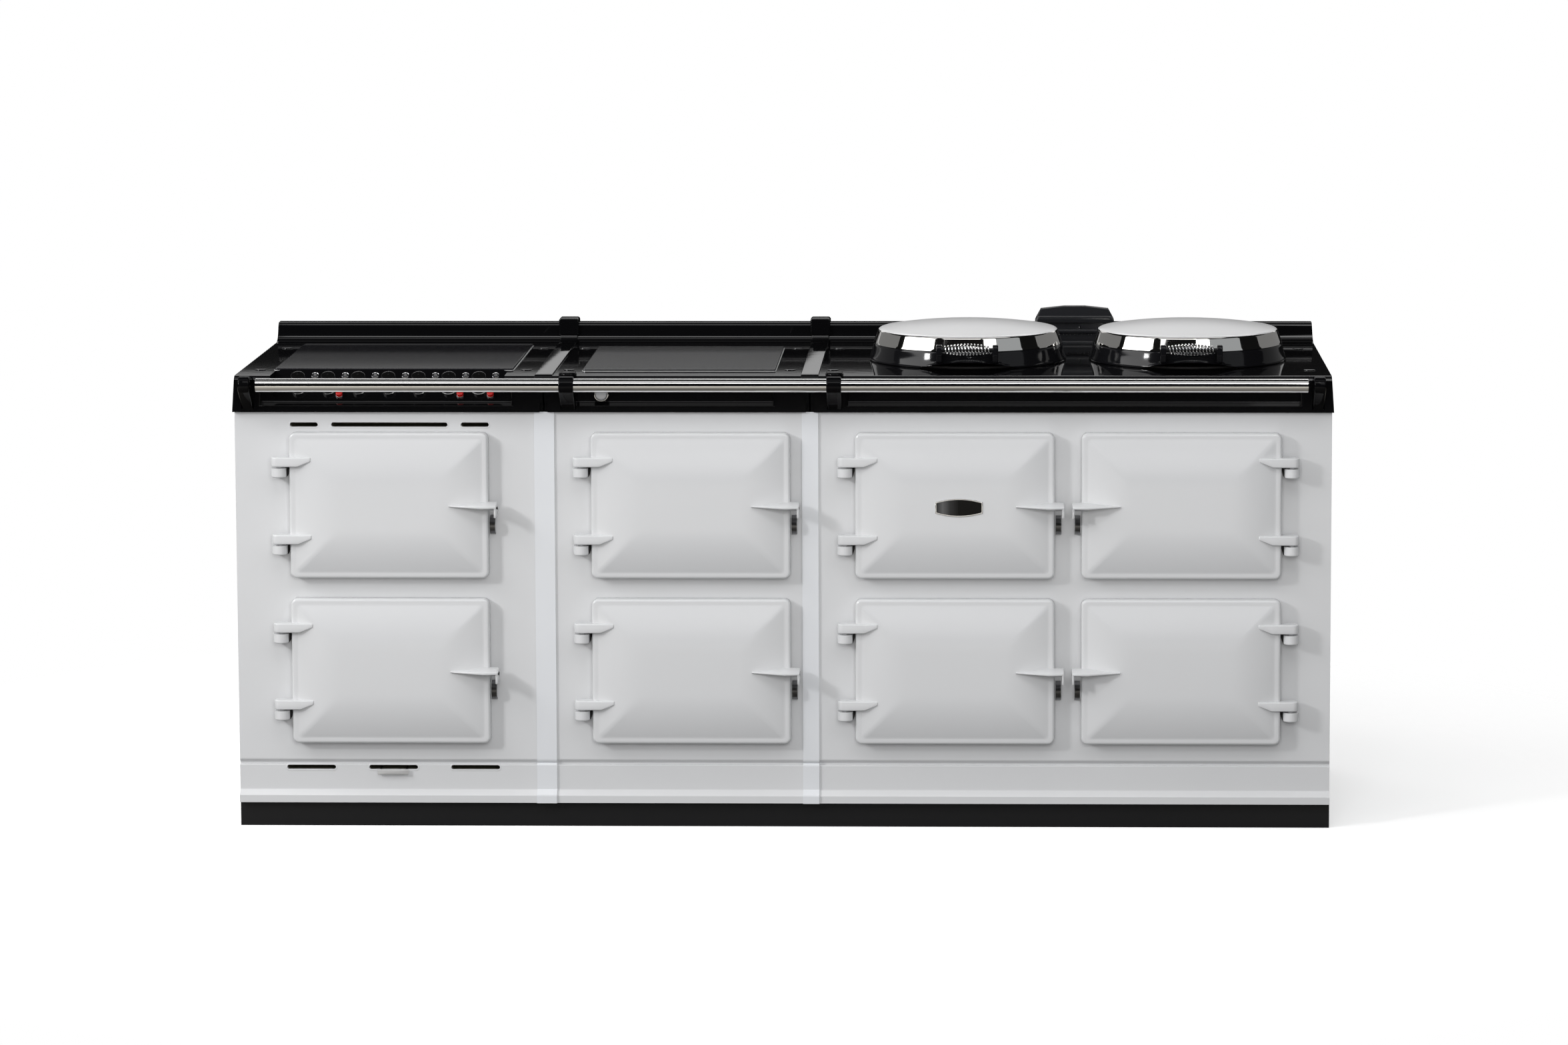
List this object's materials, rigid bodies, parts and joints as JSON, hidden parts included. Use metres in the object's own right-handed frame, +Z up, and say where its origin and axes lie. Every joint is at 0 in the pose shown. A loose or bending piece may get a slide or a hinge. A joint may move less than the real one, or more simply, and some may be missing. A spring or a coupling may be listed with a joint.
{
  "type": "cast iron range cooker",
  "caption": "Wide cast iron range cooker with hinged oven doors, domed hotplate lids, a glass hob, a warming plate and a polished handrail.",
  "frame": {"origin": "on the floor, under the middle of the whole cooker", "axes": "+X to the viewer's right along the front, +Y to the back, +Z up; the doors face -Y"},
  "size_m": [2.084, 0.704, 0.9423],
  "materials": {
    "black_enamel": "gloss black vitreous enamel on cast iron",
    "white_enamel": "gloss white vitreous enamel on cast iron",
    "black_plinth": "satin black painted steel",
    "frame_steel": "satin black painted steel",
    "galvanised": "plain zinc-coated sheet steel",
    "chrome_plate": "polished chrome plate",
    "polished_steel": "polished stainless steel",
    "spring_steel": "bright spring steel strip",
    "bare_iron": "machined cast iron",
    "liner_enamel": "dark speckled enamel on steel",
    "hob_glass": "gloss black glass ceramic",
    "warm_plate": "fine-brushed grey stainless steel",
    "knob_black": "gloss black moulding",
    "disc_face": "dark gloss face in a chrome ring",
    "lamp_red": "clear red lens",
    "switch_body": "cream moulding",
    "mineral_wool": "compressed mineral wool",
    "element_sheath": "dark oxidised steel sheath",
    "gland_black": "black nylon"
  },
  "bodies": {
    "range": {"base_frame": "frame_steel", "plinth": "black_plinth", "left_front_plate": "white_enamel", "middle_front_plate": "white_enamel", "right_front_plate": "white_enamel", "front_seam_strips": "white_enamel", "casing_panels": "white_enamel", "left_top_casting": "black_enamel", "middle_top_casting": "black_enamel", "right_top_casting": "black_enamel", "top_trim": "black_enamel", "handrail": "chrome_plate", "rail_brackets": "black_enamel", "hob_glass": "hob_glass", "warming_plate": "warm_plate", "hotplates": "bare_iron", "vent_tower": "black_enamel", "control_fascia": "black_enamel", "symbol_discs": "disc_face", "neon_lamps": "lamp_red", "rotary_switches": "switch_body", "oven_liners": "liner_enamel", "oven_shelves": "polished_steel", "door_catches": "spring_steel", "hinge_blocks": "white_enamel", "lid_hinge_brackets": "chrome_plate", "insulation": "mineral_wool", "heating_elements": "element_sheath", "cable_gland": "gland_black"},
    "left_upper_door_set": {"left_upper_door": "white_enamel", "left_upper_door_pan": "polished_steel"},
    "left_lower_door_set": {"left_lower_door": "white_enamel", "left_lower_door_pan": "polished_steel"},
    "middle_upper_door_set": {"middle_upper_door": "white_enamel", "middle_upper_door_pan": "polished_steel"},
    "middle_lower_door_set": {"middle_lower_door": "white_enamel", "middle_lower_door_pan": "polished_steel"},
    "right_inner_upper_door_set": {"right_inner_upper_door": "white_enamel", "right_inner_upper_door_pan": "polished_steel"},
    "right_inner_lower_door_set": {"right_inner_lower_door": "white_enamel", "right_inner_lower_door_pan": "polished_steel"},
    "right_outer_upper_door_set": {"right_outer_upper_door": "white_enamel", "right_outer_upper_door_pan": "polished_steel"},
    "right_outer_lower_door_set": {"right_outer_lower_door": "white_enamel", "right_outer_lower_door_pan": "polished_steel"},
    "left_lid": {"left_lid_skirt": "black_enamel", "left_lid_dome": "chrome_plate", "left_lid_coil_handle": "chrome_plate"},
    "right_lid": {"right_lid_skirt": "black_enamel", "right_lid_dome": "chrome_plate", "right_lid_coil_handle": "chrome_plate"},
    "control_knob_1_set": {"control_knob_1": "knob_black"},
    "control_knob_2_set": {"control_knob_2": "knob_black"},
    "control_knob_3_set": {"control_knob_3": "knob_black"},
    "control_knob_4_set": {"control_knob_4": "knob_black"},
    "control_knob_5_set": {"control_knob_5": "knob_black"},
    "control_knob_6_set": {"control_knob_6": "knob_black"},
    "control_knob_7_set": {"control_knob_7": "knob_black"},
    "chrome_control_set": {"chrome_control": "chrome_plate"},
    "pull_tab_set": {"pull_tab": "polished_steel"}
  },
  "joints": [
    {"name": "left_upper_door_hinge", "type": "hinge", "parent": "range", "child": "left_upper_door_set", "pos_m": [-0.953, -0.305, 0.621], "axis": [0, 0, -1], "range_deg": [0, 110]},
    {"name": "left_lower_door_hinge", "type": "hinge", "parent": "range", "child": "left_lower_door_set", "pos_m": [-0.953, -0.305, 0.3035], "axis": [0, 0, -1], "range_deg": [0, 110]},
    {"name": "middle_upper_door_hinge", "type": "hinge", "parent": "range", "child": "middle_upper_door_set", "pos_m": [-0.381, -0.305, 0.621], "axis": [0, 0, -1], "range_deg": [0, 110]},
    {"name": "middle_lower_door_hinge", "type": "hinge", "parent": "range", "child": "middle_lower_door_set", "pos_m": [-0.381, -0.305, 0.3035], "axis": [0, 0, -1], "range_deg": [0, 110]},
    {"name": "right_inner_upper_door_hinge", "type": "hinge", "parent": "range", "child": "right_inner_upper_door_set", "pos_m": [0.119, -0.305, 0.621], "axis": [0, 0, -1], "range_deg": [0, 110]},
    {"name": "right_inner_lower_door_hinge", "type": "hinge", "parent": "range", "child": "right_inner_lower_door_set", "pos_m": [0.119, -0.305, 0.3035], "axis": [0, 0, -1], "range_deg": [0, 110]},
    {"name": "right_outer_upper_door_hinge", "type": "hinge", "parent": "range", "child": "right_outer_upper_door_set", "pos_m": [0.963, -0.305, 0.621], "axis": [0, 0, 1], "range_deg": [0, 110]},
    {"name": "right_outer_lower_door_hinge", "type": "hinge", "parent": "range", "child": "right_outer_lower_door_set", "pos_m": [0.963, -0.305, 0.3035], "axis": [0, 0, 1], "range_deg": [0, 110]},
    {"name": "left_lid_hinge", "type": "hinge", "parent": "range", "child": "left_lid", "pos_m": [0.35, 0.221, 0.8893], "axis": [-1, 0, 0], "range_deg": [0, 85]},
    {"name": "right_lid_hinge", "type": "hinge", "parent": "range", "child": "right_lid", "pos_m": [0.776, 0.221, 0.8893], "axis": [-1, 0, 0], "range_deg": [0, 85]},
    {"name": "control_knob_1_turn", "type": "hinge", "parent": "range", "child": "control_knob_1_set", "pos_m": [-0.926, -0.2387, 0.84186], "axis": [0, 0.5651, -0.825], "range_deg": [0, 270]},
    {"name": "control_knob_2_turn", "type": "hinge", "parent": "range", "child": "control_knob_2_set", "pos_m": [-0.8685, -0.2387, 0.84186], "axis": [0, 0.5651, -0.825], "range_deg": [0, 270]},
    {"name": "control_knob_3_turn", "type": "hinge", "parent": "range", "child": "control_knob_3_set", "pos_m": [-0.811, -0.2387, 0.84186], "axis": [0, 0.5651, -0.825], "range_deg": [0, 270]},
    {"name": "control_knob_4_turn", "type": "hinge", "parent": "range", "child": "control_knob_4_set", "pos_m": [-0.7535, -0.2387, 0.84186], "axis": [0, 0.5651, -0.825], "range_deg": [0, 270]},
    {"name": "control_knob_5_turn", "type": "hinge", "parent": "range", "child": "control_knob_5_set", "pos_m": [-0.696, -0.2387, 0.84186], "axis": [0, 0.5651, -0.825], "range_deg": [0, 270]},
    {"name": "control_knob_6_turn", "type": "hinge", "parent": "range", "child": "control_knob_6_set", "pos_m": [-0.6385, -0.2387, 0.84186], "axis": [0, 0.5651, -0.825], "range_deg": [0, 270]},
    {"name": "control_knob_7_turn", "type": "hinge", "parent": "range", "child": "control_knob_7_set", "pos_m": [-0.581, -0.2387, 0.84186], "axis": [0, 0.5651, -0.825], "range_deg": [0, 270]},
    {"name": "chrome_control_turn", "type": "hinge", "parent": "range", "child": "chrome_control_set", "pos_m": [-0.342, -0.278, 0.8315], "axis": [0, 1, 0], "range_deg": [0, 270]},
    {"name": "pull_tab_slide", "type": "slide", "parent": "range", "child": "pull_tab_set", "axis": [0, -1, 0], "range_m": [0, 0.04]}
  ]
}
